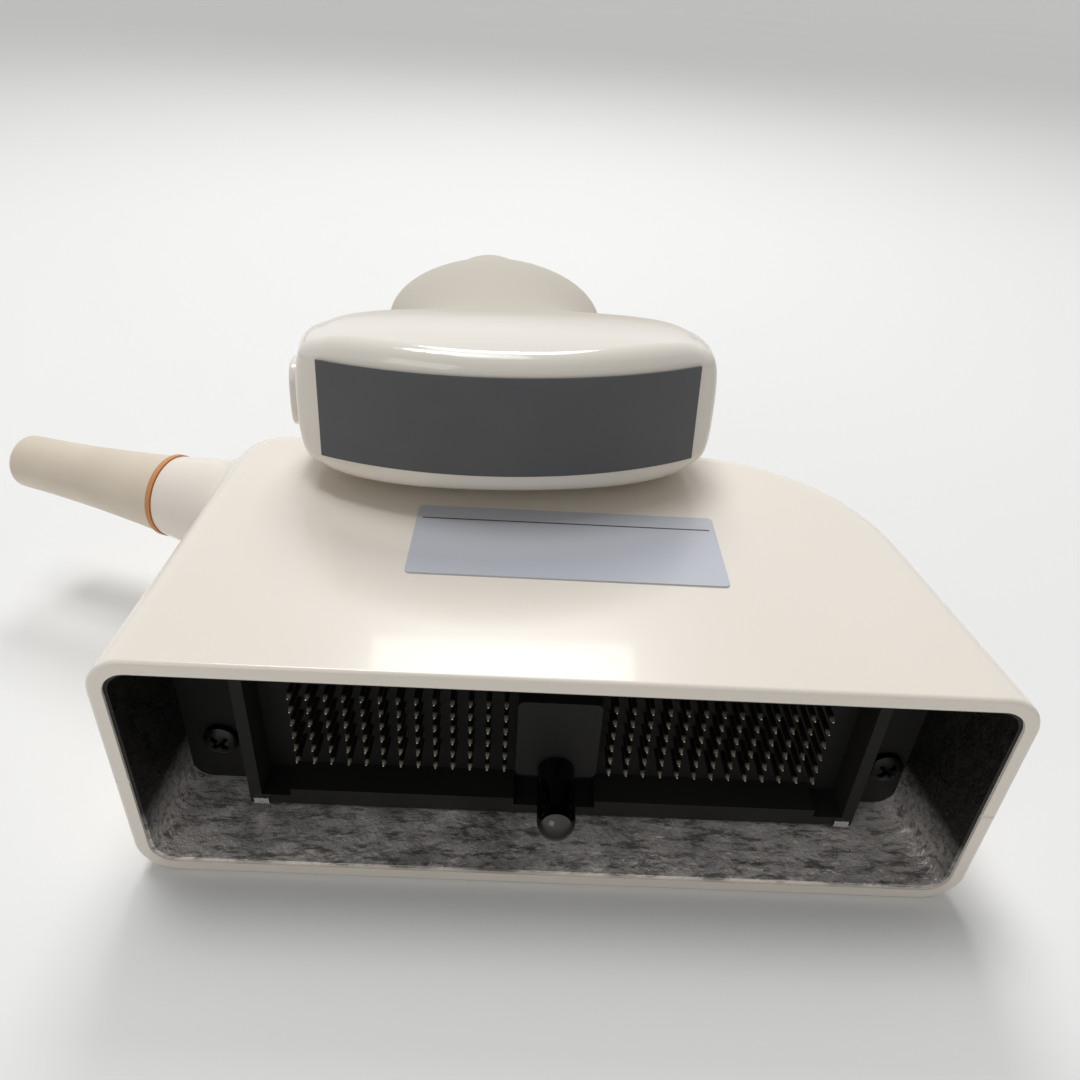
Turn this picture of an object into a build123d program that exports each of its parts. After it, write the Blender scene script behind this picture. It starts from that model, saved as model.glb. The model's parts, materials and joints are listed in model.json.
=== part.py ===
"""Ultrasound transducer: a convex probe lying on the back edge of its connector housing.

Millimetres, +Z up. The origin is the centre of the housing's underside, and the open
mouth with the contact pins faces -Y.
"""
import os
from math import copysign, cos, pi, radians, sin, sqrt

from build123d import *

os.makedirs("parts", exist_ok=True)

# Connector housing
mouth_margin = 13.5
housing_depth = 64.0
housing_height = 40.0
parting_height = 18.6
wall = 2.1
edge_radius = 5.5
rim_round = 0.6
seam_groove = 0.25
left_taper = 2.4
right_taper = 10.7
rear_left_radius = 9.0
rear_right_radius = 33.0
liner_thickness = 0.5
liner_setback = 0.4
fit_clearance = 0.1

# Connector inside the mouth
pin_pitch = 2.54
pin_columns = 13
pin_rows = 6
pin_block_gap = 15.5
pin_size = 0.64
pin_point = 0.9
pin_point_draft = 15.0
pin_length = 5.5
pin_recess = 10.0
pin_height = 18.8
flange_thickness = 3.0
insulator_margin = 1.6
insulator_step = 1.8
insulator_depth = 9.0
shroud_length = 5.5
shroud_wall = 1.8
shroud_margin = 6.2
shroud_lift = 1.3
shroud_drop = 3.3
sill_height = 1.4
block_width = 12.2
block_height = 15.0
block_corner = 1.0
block_drop = 2.0
block_depth = 3.2
stud_radius = 2.8
stud_neck_radius = 2.2
stud_gap = 0.3
stud_drop = 8.0
stud_reach = 15.5
stud_root = 5.0
flange_screw_margin = 0.8
flange_screw_height = 11.4
flange_screw_radius = 2.6
flange_screw_head = 1.6
flange_screw_shank = 1.4
flange_screw_grip = 5.0
post_width = 7.0
post_rise = 3.2
post_depth = 6.0
ground_tab_width = 2.2
ground_tab_height = 1.2
ground_tab_thickness = 0.5
board_margin = 4.3
board_rise = 2.8
board_corner = 1.5
board_thickness = 1.6
socket_width = 28.0
socket_height = 8.0
socket_depth = 6.0

# Cable outlet at the rear left corner
outlet_angle = 18.0
outlet_reach = 11.1
outlet_inset = 4.0
outlet_height = 26.5
neck_radius = 7.4
neck_flare = 8.0
neck_length = 26.0
neck_blend = 8.0
outlet_bore = 4.8
seal_thickness = 0.9
seal_radius = 7.6
boot_length = 34.0
boot_root_radius = 7.3
boot_waist_station = 14.0
boot_waist_radius = 6.0
boot_tip_radius = 5.0
boot_tip_round = 1.0
boot_stem = 12.0
cable_radius = 3.5

# Case screws and the plate on top
boss_radius = 3.4
case_screw_radius = 1.4
case_screw_head_radius = 2.6
case_screw_head = 1.7
case_screw_recess = 0.3
case_screw_bite = 8.0
boss_gap = 0.5
rear_screw_x = 30.0
rear_screw_inset = 10.0
side_screw_x = 46.0
label_width = 46.0
label_length = 18.0
label_corner = 0.8
label_thickness = 0.25
label_front = 20.6

# Probe: head and handle
probe_x = -8.6
probe_y = 4.6
probe_yaw = 4.9
probe_tilt = 8.0
rest_gap = 0.2
head_width = 67.2
head_thickness = 23.8
head_squareness = 5.2
front_lead = 6.0
front_draw = 3.0
head_station = 16.0
shoulder_station = 21.0
waist_station = 44.0
waist_width = 40.0
waist_thickness = 20.0
grip_station = 78.0
grip_width = 46.5
grip_thickness = 24.4
handle_squareness = 2.0
tail_station = 116.0
tail_width = 20.0
tail_thickness = 17.0
tail_wall = 3.0
probe_wall = 2.2
section_points = 16
section_count = 12
front_radius_drop = 14.2
front_round = 3.2
marker_lead = 2.0
marker_length = 14.0
marker_width = 10.5
marker_corner = 3.2
marker_height = 1.0
marker_round = 0.5
marker_root = 5.0

# Acoustic stack behind the lens, and the board in the handle
lens_side_margin = 4.35
lens_edge_margin = 4.45
lens_proud = 0.4
lens_thickness = 1.2
matching_thickness = 0.7
array_thickness = 0.6
backing_depth = 18.0
flex_thickness = 0.4
flex_width = 20.0
flex_overlap = 8.0
inner_board_start = 48.0
inner_board_length = 40.0
inner_board_width = 22.0
inner_board_thickness = 1.6
inner_post_radius = 2.0
inner_post_inset = 4.0
gland_radius = 4.8
gland_lip = 1.2
gland_lip_length = 2.0
gland_length = 7.0
gland_tip_radius = 4.5

# Places that follow from the sizes above
block_span = (pin_columns - 1) * pin_pitch
block_centre_x = pin_block_gap / 2 + block_span / 2
insulator_width = block_span + 2 * insulator_margin
insulator_height = (pin_rows - 1) * pin_pitch + 2 * insulator_margin
carrier_width = insulator_width + 2 * insulator_step
carrier_height = insulator_height + 2 * insulator_step
shroud_half_width = block_centre_x + insulator_width / 2 + shroud_margin
housing_width = 2 * (shroud_half_width + mouth_margin)
mouth_y = -housing_depth / 2
back_y = housing_depth / 2
left_slope = left_taper / housing_depth
right_slope = right_taper / housing_depth
flange_front_y = mouth_y + pin_recess + pin_length
flange_rear_y = flange_front_y + flange_thickness
case_top = housing_height - wall
lining = wall + liner_thickness
shroud_bottom = wall + shroud_lift
shroud_top = case_top - shroud_drop
shroud_mid = (shroud_bottom + shroud_top) / 2
shroud_height = shroud_top - shroud_bottom
stud_height = pin_height - stud_drop
lined_half_width = housing_width / 2 - right_slope * (flange_front_y - mouth_y) - lining
flange_screw_x = lined_half_width - flange_screw_radius - flange_screw_margin
flange_screw_places = [(-flange_screw_x, flange_screw_height), (flange_screw_x, flange_screw_height)]
contact_places = [(-block_centre_x, pin_height), (block_centre_x, pin_height)]
board_width = 2 * (block_centre_x + carrier_width / 2 + board_margin)
board_height = carrier_height + 2 * board_rise
outlet_axis = Vector(-cos(radians(outlet_angle)), sin(radians(outlet_angle)), 0)
outlet_centre = Vector(-housing_width / 2 - outlet_reach, back_y - outlet_inset, outlet_height)
outlet_line = Axis(outlet_centre, outlet_axis)
outlet_inward = Plane(outlet_centre, x_dir=(0, 0, 1), z_dir=-outlet_axis)
outlet_section = Plane(outlet_centre, x_dir=outlet_axis, z_dir=(0, 0, 1))
case_screw_seat = case_screw_recess + case_screw_head
side_screw_y = flange_front_y + insulator_depth + board_thickness + boss_gap + boss_radius
rear_screw_y = back_y - rear_screw_inset
case_screw_places = [
    (-side_screw_x, side_screw_y),
    (side_screw_x, side_screw_y),
    (-rear_screw_x, rear_screw_y),
    (rear_screw_x, rear_screw_y),
]
flange_front = Plane((0, flange_front_y, 0), x_dir=(1, 0, 0), z_dir=(0, -1, 0))
flange_rear = flange_front.offset(-flange_thickness)
carrier_rear = flange_front.offset(-insulator_depth)
front_radius = head_width - front_radius_drop
lens_width = head_width - 2 * lens_side_margin
lens_height = head_thickness - 2 * lens_edge_margin


def plan(front_run):
    """Plan of the housing, run on past its mouth by front_run along the tapered sides."""
    half = housing_width / 2
    front_left = (-half - left_slope * front_run, mouth_y - front_run)
    front_right = (half + right_slope * front_run, mouth_y - front_run)
    with BuildSketch() as outline:
        with BuildLine():
            Polyline(
                front_left,
                (-half + left_taper, back_y),
                (half - right_taper, back_y),
                front_right,
                close=True,
            )
        make_face()
        rear = outline.vertices().group_by(Axis.Y)[-1].sort_by(Axis.X)
        fillet(rear[0], rear_left_radius)
        rear = outline.vertices().filter_by(lambda v: v.X > 0).sort_by(Axis.Y)
        fillet(rear[-1], rear_right_radius)
    return outline.sketch


def rounded_block(inset):
    """Closed block of the housing's form drawn in by inset, run on through the mouth."""
    with BuildPart() as block:
        with BuildSketch(Plane.XY.offset(inset)):
            add(plan(front_run=2 * inset + wall))
            offset(amount=-inset, kind=Kind.INTERSECTION, mode=Mode.REPLACE)
        extrude(amount=housing_height - 2 * inset)
        rims = block.faces().filter_by(Axis.Z).edges()
        fillet(rims.filter_by(lambda e: e.center().Y > mouth_y), edge_radius - inset)
    return block.part


def slab(y_front, y_rear):
    """Tall block between two planes across the housing, for cutting pieces to length."""
    with BuildPart() as block:
        with Locations((0, (y_front + y_rear) / 2, housing_height / 2)):
            Box(2 * housing_width, y_rear - y_front, 2 * housing_height)
    return block.part


cavity = rounded_block(wall)
lining_bore = rounded_block(lining)

# Outer form of the whole case with the neck for the cable
with BuildPart() as case_form:
    with BuildSketch():
        add(plan(front_run=0))
    extrude(amount=housing_height)
    rims = case_form.faces().filter_by(Axis.Z).edges()
    fillet(rims.filter_by(lambda e: e.center().Y > mouth_y + wall), edge_radius)
    with BuildSketch(outlet_inward):
        Circle(neck_radius)
    extrude(amount=neck_length, taper=-neck_flare)
    neck = case_form.faces().filter_by(GeomType.CONE).sort_by(SortBy.AREA)[-1]
    fillet(neck.edges().filter_by(GeomType.CIRCLE, reverse=True), neck_blend)
    fillet(case_form.faces().sort_by(Axis.Y)[0].edges(), rim_round)

# Upper half of the case: top, neck and the bosses that take the case screws, grooved along the seam
with BuildPart() as upper_shell:
    add(case_form.part)
    split(bisect_by=Plane.XY.offset(parting_height), keep=Keep.TOP)
    seam = upper_shell.faces().sort_by(Axis.Z)[0].edges()
    chamfer(seam.filter_by(lambda e: e.center().Y > mouth_y + rim_round), seam_groove)
    add(cavity, mode=Mode.SUBTRACT)
    with BuildSketch(outlet_inward):
        Circle(outlet_bore)
    extrude(amount=neck_length, mode=Mode.SUBTRACT)
    with BuildSketch(Plane.XY.offset(parting_height)):
        with Locations(*case_screw_places):
            Circle(boss_radius)
            Circle(case_screw_radius + fit_clearance, mode=Mode.SUBTRACT)
    extrude(amount=case_top - parting_height)
upper_shell.part.label = "upper_shell"
export_step(upper_shell.part, "parts/upper_shell.step")

# Two posts on the floor, behind the ends of the flange
with BuildPart() as flange_posts:
    with BuildSketch(flange_rear):
        with Locations((-flange_screw_x, 0), (flange_screw_x, 0)):
            Rectangle(post_width, 2 * (flange_screw_height + post_rise))
        with Locations(*flange_screw_places):
            Circle(flange_screw_shank + fit_clearance, mode=Mode.SUBTRACT)
    extrude(amount=-post_depth)
    add(cavity, mode=Mode.INTERSECT)

# Lower half of the case: floor, flange posts, and bosses with sunk screw holes, grooved along the seam
with BuildPart() as lower_shell:
    add(case_form.part)
    split(bisect_by=Plane.XY.offset(parting_height), keep=Keep.BOTTOM)
    seam = lower_shell.faces().sort_by(Axis.Z)[-1].edges()
    chamfer(seam.filter_by(lambda e: e.center().Y > mouth_y + rim_round), seam_groove)
    add(cavity, mode=Mode.SUBTRACT)
    add(flange_posts.part)
    with BuildSketch():
        with Locations(*case_screw_places):
            Circle(boss_radius)
    extrude(amount=parting_height)
    with BuildSketch():
        with Locations(*case_screw_places):
            Circle(case_screw_radius + fit_clearance)
    extrude(amount=parting_height, mode=Mode.SUBTRACT)
    with BuildSketch():
        with Locations(*case_screw_places):
            Circle(case_screw_head_radius + fit_clearance)
    extrude(amount=case_screw_seat, mode=Mode.SUBTRACT)
lower_shell.part.label = "lower_shell"
export_step(lower_shell.part, "parts/lower_shell.step")

# Four screws that draw the two halves together from below
with BuildPart() as case_screws:
    with BuildSketch(Plane.XY.offset(case_screw_recess)):
        with Locations(*case_screw_places):
            Circle(case_screw_head_radius)
    extrude(amount=case_screw_head)
    with BuildSketch(Plane.XY.offset(case_screw_seat)):
        with Locations(*case_screw_places):
            Circle(case_screw_radius)
    extrude(amount=parting_height + case_screw_bite - case_screw_seat)
case_screws.part.label = "case_screws"
export_step(case_screws.part, "parts/case_screws.step")

# Plate on top of the case
with BuildPart() as label_plate:
    with BuildSketch(Plane.XY.offset(housing_height)):
        with Locations((0, mouth_y + label_front + label_length / 2)):
            RectangleRounded(label_width, label_length, label_corner)
    extrude(amount=label_thickness)
label_plate.part.label = "label_plate"
export_step(label_plate.part, "parts/label_plate.step")

# Metal lining of the mouth, between the plastic walls and the connector flange
with BuildPart() as shield_liner:
    add(cavity)
    add(lining_bore, mode=Mode.SUBTRACT)
    add(slab(mouth_y + liner_setback, flange_front_y), mode=Mode.INTERSECT)
shield_liner.part.label = "shield_liner"
export_step(shield_liner.part, "parts/shield_liner.step")

# Moulded connector frame: a flange that fits the case all round and a shroud in front of it
sill_y = shroud_bottom + shroud_wall
with BuildPart() as connector_frame:
    add(cavity)
    add(slab(flange_front_y, flange_rear_y), mode=Mode.INTERSECT)
    with BuildSketch(flange_front):
        with Locations((0, shroud_mid)):
            Rectangle(2 * shroud_half_width, shroud_height)
            Rectangle(
                2 * (shroud_half_width - shroud_wall),
                shroud_height - 2 * shroud_wall,
                mode=Mode.SUBTRACT,
            )
        with Locations((-block_centre_x, sill_y), (block_centre_x, sill_y)):
            Rectangle(insulator_width, 2 * sill_height)
    extrude(amount=shroud_length)
    with BuildSketch(flange_front):
        with Locations(*contact_places):
            Rectangle(insulator_width, insulator_height)
        with Locations(*flange_screw_places):
            Circle(flange_screw_shank + fit_clearance)
        with Locations((0, stud_height)):
            Circle(stud_neck_radius + fit_clearance)
    extrude(amount=-flange_thickness, mode=Mode.SUBTRACT)
connector_frame.part.label = "connector_frame"
export_step(connector_frame.part, "parts/connector_frame.step")


def make_insulator(place):
    """Contact carrier: a plug that fills its window in the flange, stepped out behind it."""
    with BuildPart() as carrier:
        with BuildSketch(flange_front):
            with Locations(place):
                Rectangle(insulator_width, insulator_height)
        extrude(amount=-insulator_depth)
        with BuildSketch(flange_rear):
            with Locations(place):
                Rectangle(carrier_width, carrier_height)
        extrude(amount=flange_thickness - insulator_depth)
    return carrier.part


def make_pins(place):
    """Square contact pins with pointed tips, standing on the front of one contact carrier."""
    shank = pin_length - pin_point
    with BuildPart() as pins:
        with BuildSketch(flange_front):
            with Locations(place):
                with GridLocations(pin_pitch, pin_pitch, pin_columns, pin_rows):
                    Rectangle(pin_size, pin_size)
        extrude(amount=shank)
        with BuildSketch(flange_front.offset(shank)):
            with Locations(place):
                with GridLocations(pin_pitch, pin_pitch, pin_columns, pin_rows):
                    Rectangle(pin_size, pin_size)
        extrude(amount=pin_point, taper=pin_point_draft)
    return pins.part


for side_name, place in zip(("left", "right"), contact_places):
    insulator = make_insulator(place)
    insulator.label = f"insulator_{side_name}"
    export_step(insulator, f"parts/insulator_{side_name}.step")
    contact_pins = make_pins(place)
    contact_pins.label = f"contact_pins_{side_name}"
    export_step(contact_pins, f"parts/contact_pins_{side_name}.step")

# Block between the two contact fields, notched round the neck of the latch stud
with BuildPart() as centre_block:
    with BuildSketch(flange_front):
        with Locations((0, pin_height - block_drop)):
            RectangleRounded(block_width, block_height, block_corner)
        with Locations((0, stud_height)):
            Circle(stud_neck_radius + fit_clearance, mode=Mode.SUBTRACT)
    extrude(amount=block_depth)
centre_block.part.label = "centre_block"
export_step(centre_block.part, "parts/centre_block.step")

# Round-nosed latch stud, its thinner neck held in the flange
stud_tip_y = flange_front_y - stud_reach
stud_shoulder_y = flange_front_y - block_depth - stud_gap
stud_end_y = flange_rear_y + stud_root
with BuildPart() as latch_stud:
    with BuildSketch(Plane.XY.offset(stud_height)):
        with BuildLine():
            Polyline(
                (0, stud_tip_y),
                (0, stud_end_y),
                (stud_neck_radius, stud_end_y),
                (stud_neck_radius, stud_shoulder_y),
                (stud_radius, stud_shoulder_y),
            )
            side_line = Line((stud_radius, stud_shoulder_y), (stud_radius, stud_tip_y + stud_radius))
            RadiusArc(side_line @ 1, (0, stud_tip_y), stud_radius)
        make_face()
    revolve(axis=Axis((0, 0, stud_height), (0, 1, 0)))
latch_stud.part.label = "latch_stud"
export_step(latch_stud.part, "parts/latch_stud.step")

# Two screws that hold the flange to its posts
with BuildPart() as flange_screws:
    with BuildSketch(flange_front):
        with Locations(*flange_screw_places):
            Circle(flange_screw_radius)
    extrude(amount=flange_screw_head)
    with BuildSketch(flange_front):
        with Locations(*flange_screw_places):
            Circle(flange_screw_shank)
    extrude(amount=-flange_thickness - flange_screw_grip)
flange_screws.part.label = "flange_screws"
export_step(flange_screws.part, "parts/flange_screws.step")

# Two bright tabs on the foot of the shroud
tab_x = shroud_half_width - shroud_wall
tab_y = shroud_bottom + shroud_wall / 2
with BuildPart() as ground_tabs:
    with BuildSketch(flange_front.offset(shroud_length)):
        with Locations((-tab_x, tab_y), (tab_x, tab_y)):
            Rectangle(ground_tab_width, ground_tab_height)
    extrude(amount=ground_tab_thickness)
ground_tabs.part.label = "ground_tabs"
export_step(ground_tabs.part, "parts/ground_tabs.step")

# Circuit board on the back of the contact carriers
with BuildPart() as adapter_board:
    with BuildSketch(carrier_rear):
        with Locations((0, pin_height)):
            RectangleRounded(board_width, board_height, board_corner)
    extrude(amount=-board_thickness)
adapter_board.part.label = "adapter_board"
export_step(adapter_board.part, "parts/adapter_board.step")

# Sockets for the wires on the back of that board
with BuildPart() as wire_sockets:
    with BuildSketch(carrier_rear.offset(-board_thickness)):
        with Locations(*contact_places):
            Rectangle(socket_width, socket_height)
    extrude(amount=-socket_depth)
wire_sockets.part.label = "wire_sockets"
export_step(wire_sockets.part, "parts/wire_sockets.step")

# Coloured sealing ring between the neck and the boot
with BuildPart() as seal_ring:
    with BuildSketch(outlet_section):
        with Locations((seal_thickness / 2, (seal_radius + outlet_bore) / 2)):
            Rectangle(seal_thickness, seal_radius - outlet_bore)
    revolve(axis=outlet_line)
seal_ring.part.label = "seal_ring"
export_step(seal_ring.part, "parts/seal_ring.step")

# Hollow-tapered boot with its stem in the neck
boot_stem_radius = outlet_bore - fit_clearance
with BuildPart() as connector_boot:
    with BuildSketch(outlet_section):
        with BuildLine():
            Polyline(
                (boot_length, boot_tip_radius),
                (boot_length, cable_radius),
                (-boot_stem, cable_radius),
                (-boot_stem, boot_stem_radius),
                (seal_thickness, boot_stem_radius),
                (seal_thickness, boot_root_radius),
            )
            ThreePointArc(
                (seal_thickness, boot_root_radius),
                (boot_waist_station, boot_waist_radius),
                (boot_length, boot_tip_radius),
            )
        make_face()
    revolve(axis=outlet_line)
    tip = connector_boot.faces().sort_by(outlet_line)[-1]
    fillet(tip.edges().sort_by(SortBy.RADIUS)[-1], boot_tip_round)
connector_boot.part.label = "connector_boot"
export_step(connector_boot.part, "parts/connector_boot.step")

# Probe axes: side to side, lens to tail, and up through the thickness
yaw = radians(probe_yaw)
tilt = radians(probe_tilt)
probe_side = Vector(cos(yaw), sin(yaw), 0)
probe_axis = Vector(-sin(yaw) * cos(tilt), cos(yaw) * cos(tilt), -sin(tilt))
probe_up = probe_side.cross(probe_axis)
rest_reach = back_y - edge_radius - probe_y
rest_rise = rest_gap + rest_reach * sin(tilt) / cos(tilt) + head_thickness / 2 / cos(tilt)
probe_plane = Plane((probe_x, probe_y, housing_height + rest_rise), x_dir=probe_side, z_dir=probe_up)
probe_line = Axis(probe_plane.origin, probe_axis)


def probe_section(station):
    """Plane across the probe at a distance from the lens, its x along the width."""
    return Plane(probe_plane.from_local_coords((0, station, 0)), x_dir=probe_side, z_dir=probe_axis)


def ease(station, start, end):
    """Smooth step along the probe, from 0 at the start to 1 at the end."""
    share = min(max((station - start) / (end - start), 0), 1)
    return share * share * (3 - 2 * share)


def bulge(value, squareness):
    """Cosine or sine of an ellipse's angle, pushed out towards a rectangle's corner."""
    return copysign(abs(value) ** (2 / squareness), value)


def section_face(station, inset):
    """Cross-section of the probe, a closed superellipse drawn in by inset."""
    front = front_draw * (1 - ease(station, -front_lead, head_station))
    shoulder = ease(station, shoulder_station, waist_station)
    grip = ease(station, waist_station, grip_station)
    tail = ease(station, grip_station, tail_station)
    width = head_width - front - shoulder * (head_width - waist_width)
    width += grip * (grip_width - waist_width) + tail * (tail_width - grip_width)
    thickness = head_thickness - front - shoulder * (head_thickness - waist_thickness)
    thickness += grip * (grip_thickness - waist_thickness) + tail * (tail_thickness - grip_thickness)
    squareness = head_squareness + shoulder * (handle_squareness - head_squareness)
    points = []
    for index in range(section_points):
        angle = 2 * pi * index / section_points
        across = (width / 2 - inset) * bulge(cos(angle), squareness)
        points.append((across, (thickness / 2 - inset) * bulge(sin(angle), squareness)))
    knots = [index / section_points for index in range(section_points + 1)]
    with BuildSketch(probe_section(station)) as section:
        with BuildLine():
            add(Edge.make_spline(points, periodic=True, parameters=knots))
        make_face()
    return section.sketch.face()


def probe_form(inset):
    """Closed form of the whole probe from lens to tail, drawn in by inset."""
    pitch = (tail_station + front_lead) / (section_count - 1)
    with BuildPart() as form:
        loft([section_face(index * pitch - front_lead, inset) for index in range(section_count)])
    return form.part


def probe_slab(front, rear):
    """Block between two planes across the probe, for cutting pieces to length."""
    with BuildPart() as block:
        with BuildSketch(probe_section(front)):
            Rectangle(2 * head_width, 2 * head_width)
        extrude(amount=rear - front)
    return block.part


def front_disc(radius):
    """Thick disc whose rim is the curved front of the probe, or a layer behind it."""
    with BuildPart() as disc:
        with BuildSketch(probe_plane.offset(-head_width)):
            with Locations((0, front_radius)):
                Circle(radius)
        extrude(amount=2 * head_width)
    return disc.part


def window_block(depth):
    """Block of the lens's width and height, from in front of the lens to a depth behind it."""
    with BuildPart() as block:
        with BuildSketch(probe_section(-head_width)):
            Rectangle(lens_width, lens_height)
        extrude(amount=head_width + depth)
    return block.part


def stack_layer(outer, inner):
    """Curved layer of the acoustic stack between two radii about the lens's centre."""
    with BuildPart() as layer:
        add(window_block(backing_depth))
        add(front_disc(outer), mode=Mode.INTERSECT)
        add(front_disc(inner), mode=Mode.SUBTRACT)
    return layer.part


outer_form = probe_form(0)
inner_form = probe_form(probe_wall)

# Hollow of the nosepiece behind the walls of its window
with BuildPart() as nose_hollow:
    add(inner_form)
    add(probe_slab(backing_depth, waist_station), mode=Mode.INTERSECT)

# Nosepiece: wide curved head with the window for the lens and the orientation ridge
head_corner = front_radius - sqrt(front_radius**2 - (head_width / 2) ** 2)
marker_station = head_corner + marker_lead + marker_length / 2
marker_plane = Plane(
    probe_plane.from_local_coords((-head_width / 2 - 2 * marker_height, marker_station, 0)),
    x_dir=probe_axis,
    z_dir=probe_side,
)
with BuildPart() as marker:
    add(probe_form(-marker_height))
    with BuildSketch(marker_plane):
        RectangleRounded(marker_length, marker_width, marker_corner)
    extrude(amount=2 * marker_height + marker_root, mode=Mode.INTERSECT)
    fillet(marker.faces().sort_by(Axis(probe_plane.origin, probe_side))[0].edges(), marker_round)
with BuildPart() as nosepiece:
    add(outer_form)
    add(probe_slab(-front_lead, waist_station), mode=Mode.INTERSECT)
    add(front_disc(front_radius), mode=Mode.INTERSECT)
    fillet(nosepiece.faces().sort_by(probe_line)[0].edges(), front_round)
    add(marker.part)
    add(window_block(backing_depth), mode=Mode.SUBTRACT)
    add(nose_hollow.part, mode=Mode.SUBTRACT)
nosepiece.part.label = "nosepiece"
export_step(nosepiece.part, "parts/nosepiece.step")

# Lens, matching layer and element array, one behind the other in the window
lens_rear = front_radius - lens_thickness
matching_rear = lens_rear - matching_thickness
array_rear = matching_rear - array_thickness
for layer_name, outer, inner in (
    ("acoustic_lens", front_radius + lens_proud, lens_rear),
    ("matching_layer", lens_rear, matching_rear),
    ("element_array", matching_rear, array_rear),
):
    layer = stack_layer(outer, inner)
    layer.label = layer_name
    export_step(layer, f"parts/{layer_name}.step")

# Damping block that backs the element array
with BuildPart() as backing_block:
    add(window_block(backing_depth))
    add(front_disc(array_rear), mode=Mode.INTERSECT)
backing_block.part.label = "backing_block"
export_step(backing_block.part, "parts/backing_block.step")

# Two flexible circuits from the backing block to both faces of the board
flex_rest = (inner_board_thickness + flex_thickness) / 2
with BuildPart() as flex_circuits:
    with BuildSketch(probe_section(backing_depth)):
        with Locations((0, flex_rest), (0, -flex_rest)):
            Rectangle(flex_width, flex_thickness)
    extrude(amount=inner_board_start + flex_overlap - backing_depth)
flex_circuits.part.label = "flex_circuits"
export_step(flex_circuits.part, "parts/flex_circuits.step")

# Circuit board inside the handle
with BuildPart() as inner_board:
    with BuildSketch(probe_section(inner_board_start)):
        Rectangle(inner_board_width, inner_board_thickness)
    extrude(amount=inner_board_length)
inner_board.part.label = "inner_board"
export_step(inner_board.part, "parts/inner_board.step")

# Form of the hollow handle, with a wall at its tail for the gland
with BuildPart() as handle_hollow:
    add(inner_form)
    add(probe_slab(waist_station, tail_station - tail_wall), mode=Mode.INTERSECT)
with BuildPart() as handle_form:
    add(outer_form)
    add(probe_slab(waist_station, tail_station), mode=Mode.INTERSECT)
    add(handle_hollow.part, mode=Mode.SUBTRACT)
    with BuildSketch(probe_section(tail_station)):
        Circle(gland_radius)
    extrude(amount=-tail_wall, mode=Mode.SUBTRACT)

# Upper half of the handle
with BuildPart() as handle_upper:
    add(handle_form.part)
    split(bisect_by=probe_plane, keep=Keep.TOP)
handle_upper.part.label = "handle_upper"
export_step(handle_upper.part, "parts/handle_upper.step")

# Posts under the board, cut to the form of the handle
post_x = inner_board_width / 2 - inner_post_inset
post_front = inner_board_start + flex_overlap + inner_post_inset
post_rear = inner_board_start + inner_board_length - inner_post_inset
with BuildPart() as board_posts:
    with BuildSketch(probe_plane.offset(-inner_board_thickness / 2)):
        with Locations(*[(x, y) for x in (-post_x, post_x) for y in (post_front, post_rear)]):
            Circle(inner_post_radius)
    extrude(amount=-grip_thickness)
    add(outer_form, mode=Mode.INTERSECT)

# Lower half of the handle, which carries the board
with BuildPart() as handle_lower:
    add(handle_form.part)
    split(bisect_by=probe_plane, keep=Keep.BOTTOM)
    add(board_posts.part)
handle_lower.part.label = "handle_lower"
export_step(handle_lower.part, "parts/handle_lower.step")

# Grooved gland held in the tail wall, with the bore for the cable
with BuildPart() as tail_gland:
    with BuildSketch(Plane(probe_section(tail_station).origin, x_dir=probe_axis, z_dir=probe_up)):
        with BuildLine():
            Polyline(
                (gland_length, cable_radius),
                (-tail_wall - gland_lip_length, cable_radius),
                (-tail_wall - gland_lip_length, gland_radius + gland_lip),
                (-tail_wall, gland_radius + gland_lip),
                (-tail_wall, gland_radius),
                (0, gland_radius),
                (0, gland_radius + gland_lip),
                (gland_length, gland_tip_radius),
                close=True,
            )
        make_face()
    revolve(axis=probe_line)
tail_gland.part.label = "tail_gland"
export_step(tail_gland.part, "parts/tail_gland.step")
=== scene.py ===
import json
from math import cos, pi, sin

import bmesh
import bpy
from mathutils import Matrix, Vector


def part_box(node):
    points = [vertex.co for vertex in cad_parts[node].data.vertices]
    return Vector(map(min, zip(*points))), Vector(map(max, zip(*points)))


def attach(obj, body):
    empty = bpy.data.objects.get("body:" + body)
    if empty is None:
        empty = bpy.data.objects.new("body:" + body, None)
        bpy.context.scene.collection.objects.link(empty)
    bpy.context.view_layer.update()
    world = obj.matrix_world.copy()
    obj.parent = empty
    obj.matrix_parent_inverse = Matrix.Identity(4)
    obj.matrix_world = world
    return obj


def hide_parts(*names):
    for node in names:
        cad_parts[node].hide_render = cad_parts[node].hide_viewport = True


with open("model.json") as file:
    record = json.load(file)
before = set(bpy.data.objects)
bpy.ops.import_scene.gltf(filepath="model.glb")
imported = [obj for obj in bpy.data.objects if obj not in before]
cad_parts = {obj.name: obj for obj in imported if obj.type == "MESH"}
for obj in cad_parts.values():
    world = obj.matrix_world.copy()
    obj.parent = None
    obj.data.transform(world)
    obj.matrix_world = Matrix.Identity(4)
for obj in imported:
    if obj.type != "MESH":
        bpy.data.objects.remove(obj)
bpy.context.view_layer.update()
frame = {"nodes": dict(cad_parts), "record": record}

MM = 0.001

# Camera, solved from the grid of contact pins
CAMERA_PLACE_MM = (-6.7, -110.9, 112.6)
CAMERA_RIGHT = (0.9987, 0.0088, 0.0503)
CAMERA_UP = (-0.0468, 0.5529, 0.8319)
CAMERA_FOCAL_PX = 876.9
PHOTO_PX = 1080
SENSOR_MM = 36.0

# Where a material changes along the object, from the edge of a CAD node, in millimetres
HEAD_TO_HANDLE_MM = (14.7, 28.7)
FLOOR_REFLECTION_TO_PAINT_MM = (0.7, 9.9)
TIP_TO_SHANK_MM = (0.4, 1.1)

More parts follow.
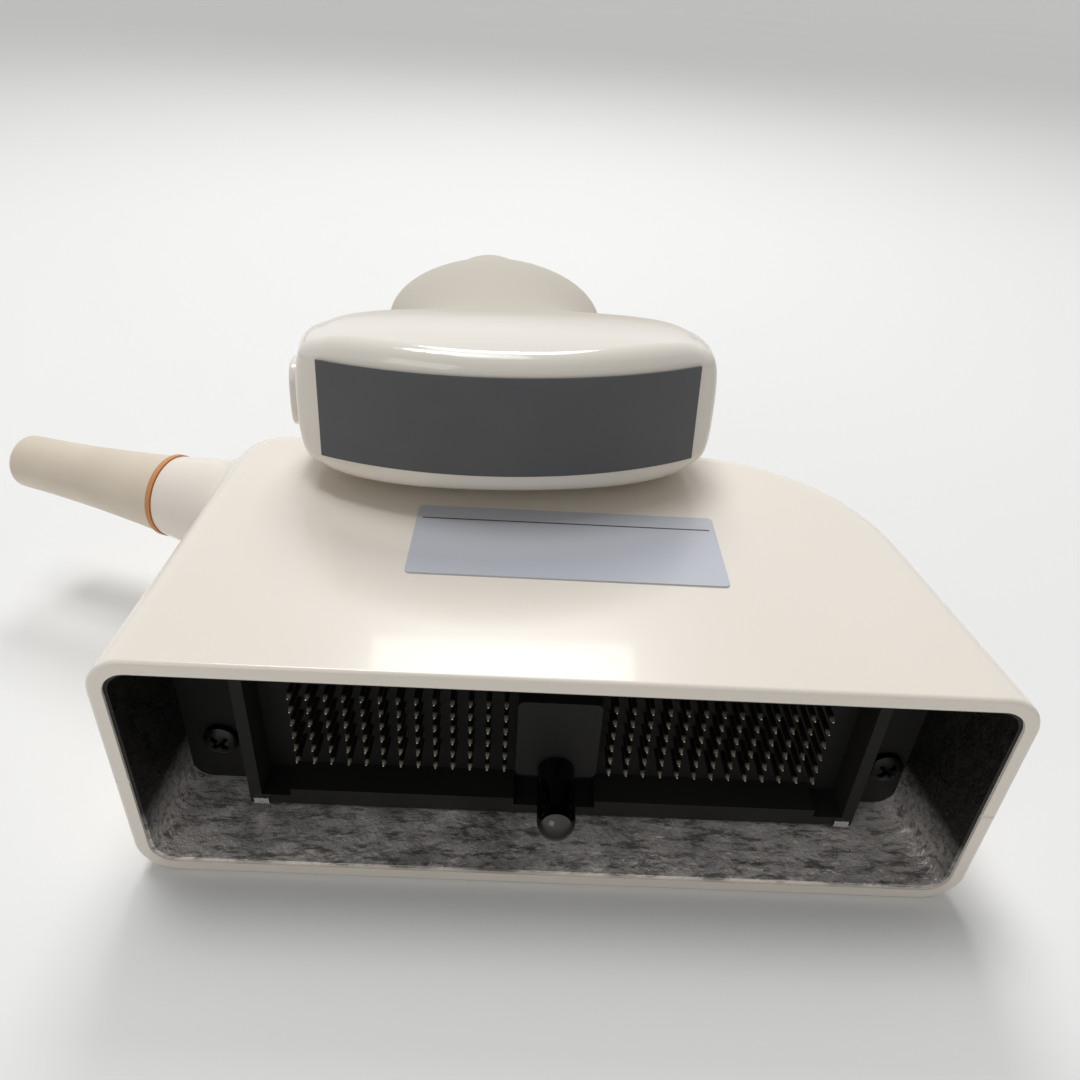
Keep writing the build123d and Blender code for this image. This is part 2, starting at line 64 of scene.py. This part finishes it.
# Fine grain on plastics and metals: height of the bump in metres
PLASTIC_GRAIN = 0.00006
METAL_GRAIN = 0.00005
RUBBER_GRAIN = 0.00008
DENT_DEPTH = 0.0005

# Divider line on the label, in millimetres
LINE_FROM_BACK_MM = 3.6
LINE_MARGIN_MM = 0.9
LINE_HALF_WIDTH_MM = 0.14
LINE_HEIGHT_MM = 0.03
LINE_BEVEL_MM = 0.012

# Screws, in millimetres, and their cross recess as shares of the head
SCREW_HEAD_RADIUS_MM = 2.6
SCREW_SHANK_RADIUS_MM = 1.4
FLANGE_HEAD_MM = 1.6
CASE_HEAD_MM = 1.7
CASE_SCREWS_MIDDLE_MM = 10.0
RECESS_WIDTH, RECESS_REACH, RECESS_DEPTH = 0.17, 0.62, 0.5
RECESS_WIDTH_SLOPE, RECESS_REACH_SLOPE = 0.4, 0.2
DOME_DROP = 0.35
SCREW_STEPS, SCREW_RINGS = 72, 22

# Studio
FLOOR_SIZE = 60.0
FLOOR_LIGHT, FLOOR_DARK = (0.88, 0.88, 0.87), (0.86, 0.86, 0.85)
WORLD_SEEN, WORLD_DIFFUSE = 1.0, 0.27


class Nodes:
    """Short way to write a material's node tree, whose textures lie in the object's own space."""

    def __init__(self, name):
        self.material = bpy.data.materials.new(name)
        self.material.use_nodes = True
        self.tree = self.material.node_tree
        self.shader = self.tree.nodes["Principled BSDF"]
        coordinates = self.tree.nodes.new("ShaderNodeTexCoord")
        self.place = coordinates.outputs["Object"]

    def new(self, kind, **settings):
        node = self.tree.nodes.new(kind)
        for key, value in settings.items():
            setattr(node, key, value)
        return node

    def link(self, source, target):
        self.tree.links.new(source, target)

    def stretched(self, scale):
        """Object coordinates scaled by axis, so that a texture runs along one of them."""
        mapping = self.new("ShaderNodeMapping")
        mapping.inputs["Scale"].default_value = scale
        self.link(self.place, mapping.inputs["Vector"])
        return mapping.outputs["Vector"]

    def axis(self, name):
        """One coordinate of the surface, in metres."""
        split = self.new("ShaderNodeSeparateXYZ")
        self.link(self.place, split.inputs["Vector"])
        return split.outputs[name]

    def noise(self, scale, detail=4.0, roughness=0.5, place=None):
        """Fractal noise, its scale in grains per metre."""
        node = self.new("ShaderNodeTexNoise")
        node.inputs["Scale"].default_value = scale
        node.inputs["Detail"].default_value = detail
        node.inputs["Roughness"].default_value = roughness
        self.link(place or self.place, node.inputs["Vector"])
        return node.outputs["Fac"]

    def ramp(self, value, stops):
        """Colour of a value, from pairs of a position and a colour."""
        node = self.new("ShaderNodeValToRGB")
        elements = node.color_ramp.elements
        while len(elements) < len(stops):
            elements.new(0.5)
        for element, (position, colour) in zip(elements, stops):
            element.position = position
            element.color = (*colour, 1.0)
        self.link(value, node.inputs["Fac"])
        return node.outputs["Color"]

    def spread(self, value, low, high, start=0.3, end=0.7):
        """Maps start to end of a value onto low to high, and holds it beyond them."""
        node = self.new("ShaderNodeMapRange")
        node.inputs["From Min"].default_value = start
        node.inputs["From Max"].default_value = end
        node.inputs["To Min"].default_value = low
        node.inputs["To Max"].default_value = high
        self.link(value, node.inputs["Value"])
        return node.outputs["Result"]

    def times(self, first, second):
        node = self.new("ShaderNodeMath", operation="MULTIPLY")
        self.link(first, node.inputs[0])
        self.link(second, node.inputs[1])
        return node.outputs["Value"]

    def mix(self, share, first, second):
        """Blend of two colours, each an output or a plain colour."""
        node = self.new("ShaderNodeMix", data_type="RGBA")
        self.link(share, node.inputs["Factor"])
        for socket, colour in ((node.inputs[6], first), (node.inputs[7], second)):
            if isinstance(colour, tuple):
                socket.default_value = (*colour, 1.0)
            else:
                self.link(colour, socket)
        return node.outputs[2]

    def bump(self, value, strength, distance):
        """Fine relief from a value, its full height in metres."""
        node = self.new("ShaderNodeBump")
        node.inputs["Strength"].default_value = strength
        node.inputs["Distance"].default_value = distance
        self.link(value, node.inputs["Height"])
        self.link(node.outputs["Normal"], self.shader.inputs["Normal"])

    def set(self, **values):
        """Constant values of the shader's sockets, their names written with underscores."""
        for key, value in values.items():
            self.shader.inputs[key.replace("_", " ")].default_value = value

    def drive(self, socket, output):
        self.link(output, self.shader.inputs[socket])

    def colour(self, output):
        self.drive("Base Color", output)

    def rough(self, output):
        self.drive("Roughness", output)


def fade(nodes, axis, edge, span):
    """Share from 0 to 1 along an axis, over a span in millimetres from the edge of a node."""
    start, end = (edge + part * MM for part in span)
    return nodes.spread(nodes.axis(axis), 0.0, 1.0, start=start, end=end)


def moulded(name, light, dark, rough_low, rough_high, grain, coat, shine=0.5):
    """Moulded plastic: slow drift of colour, uneven gloss and a fine grain."""
    nodes = Nodes(name)
    nodes.colour(nodes.ramp(nodes.noise(22.0, detail=1.0), [(0.25, dark), (0.75, light)]))
    nodes.rough(nodes.spread(nodes.noise(60.0, detail=1.0), rough_low, rough_high))
    nodes.bump(nodes.noise(2600.0, detail=2.0), grain, PLASTIC_GRAIN)
    nodes.set(Coat_Weight=coat, Coat_Roughness=0.06, IOR=1.5, Specular_IOR_Level=shine)
    return nodes.material


def probe_plastic(name, light, dark, handle):
    """Glossy plastic of the head, which turns matt and darker towards the handle, the darker colour
    partly a greyer plastic and partly painted shade.
    """
    nodes = Nodes(name)
    drift = nodes.ramp(nodes.noise(30.0, detail=1.0), [(0.25, dark), (0.75, light)])
    toward_handle = fade(nodes, "Y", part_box("nosepiece")[0][1], HEAD_TO_HANDLE_MM)
    # Darker towards the handle: partly a greyer plastic, partly painted shade
    nodes.colour(nodes.mix(toward_handle, drift, handle))
    for socket, head_value, handle_value in (
        ("Roughness", 0.13, 0.55),
        ("Coat Weight", 0.5, 0.0),
        ("Specular IOR Level", 0.5, 0.2),
    ):
        value = nodes.spread(toward_handle, head_value, handle_value, start=0.0, end=1.0)
        nodes.drive(socket, value)
    nodes.bump(nodes.noise(2600.0, detail=2.0), 0.05, PLASTIC_GRAIN)
    nodes.set(Coat_Roughness=0.06, IOR=1.5)
    return nodes.material


def lining_metal(name, bare, stain, paint):
    """Dark lining whose floor is rubbed to bare metal, dented, streaked along X and blotched; the
    bare metal fades up the lower walls as a painted reflection of the floor.
    """
    nodes = Nodes(name)
    streaks = nodes.noise(700.0, detail=8.0, roughness=0.8, place=nodes.stretched((0.28, 1.0, 1.0)))
    metal = nodes.ramp(streaks, [(0.42, stain), (0.5, bare), (0.62, bare), (0.68, stain)])
    # Lighter lower walls: a painted reflection of the bare floor, fading into the paint
    painted = fade(nodes, "Z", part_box("shield_liner")[0][2], FLOOR_REFLECTION_TO_PAINT_MM)
    floor = nodes.spread(painted, 1.0, 0.0, start=0.0, end=1.0)
    patches = nodes.noise(75.0, detail=8.0, roughness=0.65)
    blotches = nodes.spread(patches, 0.5, 1.0, start=0.38, end=0.54)
    nodes.colour(nodes.mix(nodes.times(floor, blotches), paint, metal))
    nodes.rough(nodes.spread(nodes.noise(500.0, detail=6.0), 0.22, 0.5))
    nodes.bump(nodes.noise(620.0, detail=5.0, roughness=0.65), 0.8, DENT_DEPTH)
    nodes.set(Metallic=0.45, Specular_IOR_Level=0.35)
    return nodes.material


def contact_metal(name, tip, shank):
    """Plated pins, bright where they mate and near-black towards the carrier, the dark shanks being
    painted shade of the recess they stand in.
    """
    nodes = Nodes(name)
    # Dark shanks: painted shade of the recess the pins stand in
    toward_shaded_shank = fade(nodes, "Y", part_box("contact_pins_left")[0][1], TIP_TO_SHANK_MM)
    nodes.colour(nodes.mix(toward_shaded_shank, tip, shank))
    nodes.rough(nodes.spread(nodes.noise(900.0), 0.26, 0.42))
    nodes.bump(nodes.noise(1800.0), 0.05, METAL_GRAIN)
    nodes.set(Metallic=0.9)
    return nodes.material


def bright_metal(name, light, dark, rough_low, rough_high):
    """Plated or polished metal with faint stains."""
    nodes = Nodes(name)
    nodes.colour(nodes.ramp(nodes.noise(260.0), [(0.3, dark), (0.7, light)]))
    nodes.rough(nodes.spread(nodes.noise(900.0), rough_low, rough_high))
    nodes.bump(nodes.noise(1800.0), 0.05, METAL_GRAIN)
    nodes.set(Metallic=1.0)
    return nodes.material


def soft_rubber(name, light, dark, rough_low, rough_high, grain):
    """Silicone or rubber: mottled, with a soft fine grain."""
    nodes = Nodes(name)
    nodes.colour(nodes.ramp(nodes.noise(90.0, detail=6.0), [(0.3, dark), (0.7, light)]))
    nodes.rough(nodes.spread(nodes.noise(240.0), rough_low, rough_high))
    nodes.bump(nodes.noise(3200.0, detail=3.0), grain, RUBBER_GRAIN)
    return nodes.material


# One material for each slot of the record, then two more for pieces that only the scene draws
material_makers = {
    "case_plastic": (moulded, (0.83, 0.765, 0.68), (0.8, 0.735, 0.65), 0.23, 0.27, 0.1, 0.3),
    # The handle colour is partly a greyer plastic and partly painted shade
    "probe_plastic": (probe_plastic, (0.78, 0.73, 0.65), (0.74, 0.69, 0.61), (0.54, 0.495, 0.425)),
    "black_plastic": (
        moulded, (0.012, 0.011, 0.01), (0.006, 0.006, 0.005), 0.5, 0.7, 0.3, 0.0, 0.2
    ),
    "grey_plastic": (
        moulded, (0.016, 0.015, 0.014), (0.01, 0.0095, 0.009), 0.45, 0.6, 0.25, 0.0, 0.2
    ),
    "label_silver": (moulded, (0.52, 0.54, 0.59), (0.48, 0.5, 0.55), 0.29, 0.32, 0.1, 0.2),
    "liner_metal": (lining_metal, (0.97, 0.92, 0.88), (0.34, 0.32, 0.3), (0.016, 0.015, 0.013)),
    # The near-black shank colour is painted shade
    "contact_metal": (contact_metal, (0.98, 0.9, 0.72), (0.05, 0.038, 0.022)),
    # Near-black chrome: a painted dark reflection of the surroundings in front of the stud
    "stud_chrome": (bright_metal, (0.055, 0.052, 0.048), (0.035, 0.033, 0.031), 0.04, 0.09),
    "steel": (bright_metal, (0.62, 0.61, 0.6), (0.4, 0.4, 0.39), 0.2, 0.4),
    "board_laminate": (moulded, (0.05, 0.2, 0.09), (0.03, 0.14, 0.06), 0.3, 0.45, 0.1, 0.1),
    "seal_rubber": (soft_rubber, (0.62, 0.27, 0.09), (0.5, 0.2, 0.07), 0.4, 0.55, 0.1),
    "boot_rubber": (soft_rubber, (0.72, 0.63, 0.51), (0.66, 0.57, 0.46), 0.35, 0.5, 0.12),
    "lens_rubber": (soft_rubber, (0.066, 0.068, 0.074), (0.056, 0.058, 0.063), 0.38, 0.5, 0.08),
    "stack_layer": (moulded, (0.3, 0.28, 0.22), (0.24, 0.22, 0.18), 0.4, 0.6, 0.1, 0.0),
    "ceramic": (moulded, (0.5, 0.47, 0.4), (0.42, 0.4, 0.34), 0.4, 0.6, 0.1, 0.0),
    "backing_filled": (moulded, (0.1, 0.1, 0.1), (0.06, 0.06, 0.06), 0.5, 0.7, 0.2, 0.0),
    "flex_film": (moulded, (0.55, 0.33, 0.08), (0.45, 0.26, 0.06), 0.25, 0.4, 0.05, 0.1),
    "label_line": (moulded, (0.05, 0.05, 0.06), (0.04, 0.04, 0.05), 0.4, 0.5, 0.1, 0.0),
    # Near-black steel of the flange screws: painted shade of the mouth they sit in
    "screw_black": (bright_metal, (0.03, 0.03, 0.029), (0.014, 0.014, 0.013), 0.25, 0.45),
}
materials = {name: make(name, *looks) for name, (make, *looks) in material_makers.items()}

for subpart in frame["record"]["subparts"]:
    node = frame["nodes"][subpart["node"]]
    node.data.materials.clear()
    node.data.materials.append(materials[subpart["material_slot"]])


def finish_piece(name, bm, material):
    """Turns a bmesh into a piece of the object that rides on its only body."""
    bmesh.ops.recalc_face_normals(bm, faces=bm.faces)
    mesh = bpy.data.meshes.new(name)
    bm.to_mesh(mesh)
    bm.free()
    mesh.materials.append(material)
    piece = bpy.data.objects.new(name, mesh)
    bpy.context.scene.collection.objects.link(piece)
    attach(piece, "root")
    return piece


def add_strip(name, low, high, bevel, material):
    """Thin bar between two corners in millimetres, with its edges rounded off."""
    bm = bmesh.new()
    bmesh.ops.create_cube(bm, size=1.0)
    for vertex in bm.verts:
        vertex.co = Vector(
            [MM * (a + (b - a) * (part + 0.5)) for a, b, part in zip(low, high, vertex.co)]
        )
    bmesh.ops.bevel(
        bm, geom=bm.edges[:], offset=bevel * MM, segments=2, affect="EDGES", profile=0.5
    )
    return finish_piece(name, bm, material)


def add_screw(bm, centre, axis, head_height, shank_length):
    """Domed head with a cross recess on a shank, all in millimetres, added to the bmesh."""
    centre, axis = Vector(centre), Vector(axis)
    side = axis.orthogonal().normalized()
    up = axis.cross(side)
    head_radius = SCREW_HEAD_RADIUS_MM
    arm_width, arm_reach = RECESS_WIDTH * head_radius, RECESS_REACH * head_radius
    depth = RECESS_DEPTH * head_height

    def point(radius, angle, height):
        around = side * radius * cos(angle) + up * radius * sin(angle)
        return bm.verts.new((centre + around + axis * height) * MM)

    def crown(radius, angle):
        across, along = abs(radius * cos(angle)), abs(radius * sin(angle))
        dome = head_height * (1 - DOME_DROP * (radius / head_radius) ** 4)
        near, far = min(across, along), max(across, along)
        inside = min(max((arm_width - near) / (RECESS_WIDTH_SLOPE * arm_width), 0), 1)
        inside *= min(max((arm_reach - far) / (RECESS_REACH_SLOPE * arm_reach), 0), 1)
        return dome - depth * inside

    angles = [2 * pi * index / SCREW_STEPS for index in range(SCREW_STEPS)]
    rings = []
    for index in range(1, SCREW_RINGS + 1):
        radius = head_radius * index / SCREW_RINGS
        rings.append([point(radius, angle, crown(radius, angle)) for angle in angles])
    for radius, height in (
        (head_radius, 0),
        (SCREW_SHANK_RADIUS_MM, 0),
        (SCREW_SHANK_RADIUS_MM, -shank_length),
    ):
        rings.append([point(radius, angle, height) for angle in angles])
    middle = point(0, 0, crown(0, 0))
    for index in range(SCREW_STEPS):
        after = (index + 1) % SCREW_STEPS
        bm.faces.new((middle, rings[0][index], rings[0][after]))
        for inner, outer in zip(rings, rings[1:]):
            bm.faces.new((inner[index], outer[index], outer[after], inner[after]))
    bm.faces.new(rings[-1])


def add_screws(name, node, places, axis, head_height, shank_length, material):
    """All the screws of one CAD node, drawn with their recesses."""
    bm = bmesh.new()
    for place in places:
        add_screw(bm, place, axis, head_height, shank_length)
    piece = finish_piece(name, bm, material)
    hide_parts(node)


# Divider line on the bare label
label_low, label_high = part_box("label_plate")
label_top = label_high[2] / MM
line_y = label_high[1] / MM - LINE_FROM_BACK_MM
add_strip(
    "label_divider",
    (label_low[0] / MM + LINE_MARGIN_MM, line_y - LINE_HALF_WIDTH_MM, label_top),
    (label_high[0] / MM - LINE_MARGIN_MM, line_y + LINE_HALF_WIDTH_MM, label_top + LINE_HEIGHT_MM),
    LINE_BEVEL_MM,
    materials["label_line"],
)


def screw_places(node, group):
    """Middles of a node's screws, from the vertices that the function group puts together."""
    groups = {}
    for vertex in frame["nodes"][node].data.vertices:
        groups.setdefault(group(vertex.co), []).append(vertex.co / MM)
    places = []
    for key in sorted(groups):
        low = [min(place[i] for place in groups[key]) for i in range(3)]
        high = [max(place[i] for place in groups[key]) for i in range(3)]
        places.append([(a + b) / 2 for a, b in zip(low, high)])
    return places


def by_side(place):
    return place.x > 0


def by_quarter(place):
    return place.x > 0, place.y > CASE_SCREWS_MIDDLE_MM * MM


# Screws with recesses, each set on the seat and at the length of its CAD node
flange_low, flange_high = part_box("flange_screws")
flange_seat = flange_low[1] / MM + FLANGE_HEAD_MM
add_screws(
    "flange_screws_recessed",
    "flange_screws",
    [(x, flange_seat, z) for x, y, z in screw_places("flange_screws", by_side)],
    (0, -1, 0),
    FLANGE_HEAD_MM,
    flange_high[1] / MM - flange_seat,
    materials["screw_black"],
)
case_low, case_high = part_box("case_screws")
case_seat = case_low[2] / MM + CASE_HEAD_MM
add_screws(
    "case_screws_recessed",
    "case_screws",
    [(x, y, case_seat) for x, y, z in screw_places("case_screws", by_quarter)],
    (0, 0, -1),
    CASE_HEAD_MM,
    case_high[2] / MM - case_seat,
    materials["steel"],
)


def add_floor():
    bpy.ops.mesh.primitive_plane_add(size=FLOOR_SIZE)
    floor = bpy.context.active_object
    floor.name = "floor"
    nodes = Nodes("floor_pale")
    nodes.colour(nodes.ramp(nodes.noise(3.0), [(0.3, FLOOR_DARK), (0.7, FLOOR_LIGHT)]))
    nodes.set(Roughness=0.8)
    floor.data.materials.append(nodes.material)


def add_lamp(name, place, target, size, power):
    """Softbox at a place in metres, turned to a target, its power in watts."""
    data = bpy.data.lights.new(name, "AREA")
    data.shape = "RECTANGLE"
    data.size, data.size_y = size
    data.energy = power
    lamp = bpy.data.objects.new(name, data)
    lamp.location = place
    aim = Vector(target) - Vector(place)
    lamp.rotation_euler = aim.to_track_quat("-Z", "Y").to_euler()
    bpy.context.scene.collection.objects.link(lamp)


def add_sky_lamp(name, direction, strength, angle):
    """Even light from far away, which leaves the floor without a bright spot."""
    data = bpy.data.lights.new(name, "SUN")
    data.energy = strength
    data.angle = angle
    lamp = bpy.data.objects.new(name, data)
    lamp.rotation_euler = Vector(direction).to_track_quat("Z", "Y").to_euler()
    bpy.context.scene.collection.objects.link(lamp)


def add_world():
    """White surroundings that light the part softly and look plain white to the camera."""
    world = bpy.data.worlds.new("studio")
    bpy.context.scene.world = world
    world.use_nodes = True
    tree = world.node_tree
    background = tree.nodes["Background"]
    background.inputs["Color"].default_value = (1.0, 1.0, 1.0, 1.0)
    rays = tree.nodes.new("ShaderNodeLightPath")
    seen = rays.outputs["Is Camera Ray"]
    for name in ("Is Glossy Ray", "Is Transmission Ray"):
        either = tree.nodes.new("ShaderNodeMath")
        either.operation = "MAXIMUM"
        tree.links.new(seen, either.inputs[0])
        tree.links.new(rays.outputs[name], either.inputs[1])
        seen = either.outputs["Value"]
    strength = tree.nodes.new("ShaderNodeMapRange")
    strength.inputs["To Min"].default_value = WORLD_DIFFUSE
    strength.inputs["To Max"].default_value = WORLD_SEEN
    tree.links.new(seen, strength.inputs["Value"])
    tree.links.new(strength.outputs["Result"], background.inputs["Strength"])


def add_camera():
    """The photo's own view."""
    data = bpy.data.cameras.new("photo_camera")
    data.sensor_width = SENSOR_MM
    data.lens = CAMERA_FOCAL_PX / PHOTO_PX * SENSOR_MM
    data.clip_start = 5 * MM
    camera = bpy.data.objects.new("photo_camera", data)
    right = Vector(CAMERA_RIGHT).normalized()
    up = Vector(CAMERA_UP).normalized()
    back = right.cross(up).normalized()
    turn = Matrix((right, up, back)).transposed().to_4x4()
    camera.matrix_world = Matrix.Translation(Vector(CAMERA_PLACE_MM) * MM) @ turn
    bpy.context.scene.collection.objects.link(camera)
    bpy.context.scene.camera = camera


add_floor()
add_world()
add_camera()
add_sky_lamp("sky", (-0.2, 0.2, 0.94), 0.8, 0.3)
add_lamp("strip", (-0.02, 0.55, 0.72), (-0.01, -0.02, 0.04), (0.3, 0.3), 2.4)
add_lamp("overhead", (-0.06, 0.14, 0.75), (-0.02, 0.0, 0.05), (0.22, 0.36), 1.0)
add_lamp("front", (-0.3, -0.5, 0.32), (0.0, -0.03, 0.01), (0.3, 0.3), 0.42)
bpy.context.scene.view_settings.view_transform = "Standard"
